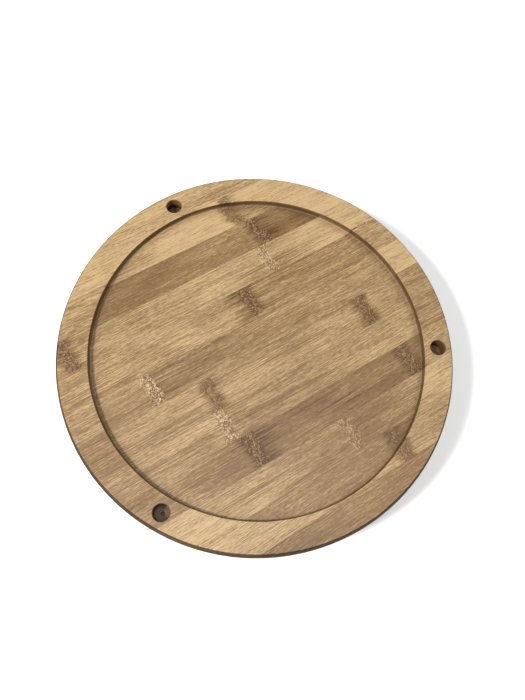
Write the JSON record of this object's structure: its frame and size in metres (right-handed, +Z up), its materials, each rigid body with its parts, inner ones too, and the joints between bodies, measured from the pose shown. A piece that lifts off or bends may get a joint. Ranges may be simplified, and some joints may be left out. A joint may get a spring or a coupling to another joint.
{
  "type": "lazy susan turntable",
  "caption": "Round bamboo lazy susan: tray with a shallow recess and post sockets in its rim, on a square ball-bearing swivel and a smaller footed base.",
  "frame": {"origin": "where the turning axis meets the surface that the feet stand on", "axes": "+Z up along the turning axis; at rest +X runs along the grain of the tray's strips, and one post socket lies on +Y"},
  "size_m": [0.254, 0.254, 0.04],
  "materials": {
    "bamboo": "oiled satin, plain-pressed caramel bamboo strips",
    "zinc_plate": "zinc-plated stamped sheet",
    "screw_steel": "bright zinc",
    "ball_steel": "polished",
    "nylon": "natural moulded",
    "rubber": "matte"
  },
  "bodies": {
    "base": {"base_disc": "bamboo", "swivel_lower_plate": "zinc_plate", "base_screw_1": "screw_steel", "base_screw_2": "screw_steel", "base_screw_3": "screw_steel", "base_screw_4": "screw_steel", "foot_1": "rubber", "foot_2": "rubber", "foot_3": "rubber", "foot_4": "rubber", "foot_washer_1": "screw_steel", "foot_washer_2": "screw_steel", "foot_washer_3": "screw_steel", "foot_washer_4": "screw_steel", "foot_screw_1": "screw_steel", "foot_screw_2": "screw_steel", "foot_screw_3": "screw_steel", "foot_screw_4": "screw_steel"},
    "ball_ring": {"ball_cage": "nylon", "bearing_ball_1": "ball_steel", "bearing_ball_2": "ball_steel", "bearing_ball_3": "ball_steel", "bearing_ball_4": "ball_steel", "bearing_ball_5": "ball_steel", "bearing_ball_6": "ball_steel", "bearing_ball_7": "ball_steel", "bearing_ball_8": "ball_steel", "bearing_ball_9": "ball_steel", "bearing_ball_10": "ball_steel", "bearing_ball_11": "ball_steel", "bearing_ball_12": "ball_steel", "bearing_ball_13": "ball_steel", "bearing_ball_14": "ball_steel", "bearing_ball_15": "ball_steel", "bearing_ball_16": "ball_steel", "bearing_ball_17": "ball_steel", "bearing_ball_18": "ball_steel", "bearing_ball_19": "ball_steel", "bearing_ball_20": "ball_steel", "bearing_ball_21": "ball_steel", "bearing_ball_22": "ball_steel", "bearing_ball_23": "ball_steel", "bearing_ball_24": "ball_steel"},
    "turntable": {"tray": "bamboo", "swivel_upper_plate": "zinc_plate", "tray_screw_1": "screw_steel", "tray_screw_2": "screw_steel", "tray_screw_3": "screw_steel", "tray_screw_4": "screw_steel"}
  },
  "joints": [
    {"name": "tray_spin", "type": "hinge", "parent": "base", "child": "turntable", "pos_m": [0, 0, 0.025], "axis": [0, 0, 1], "continuous": true},
    {"name": "ball_ring_orbit", "type": "hinge", "parent": "base", "child": "ball_ring", "pos_m": [0, 0, 0.021], "axis": [0, 0, 1], "continuous": true}
  ],
  "couplings": [
    {"joint": "ball_ring_orbit", "follows": "tray_spin", "ratio": 0.5}
  ]
}
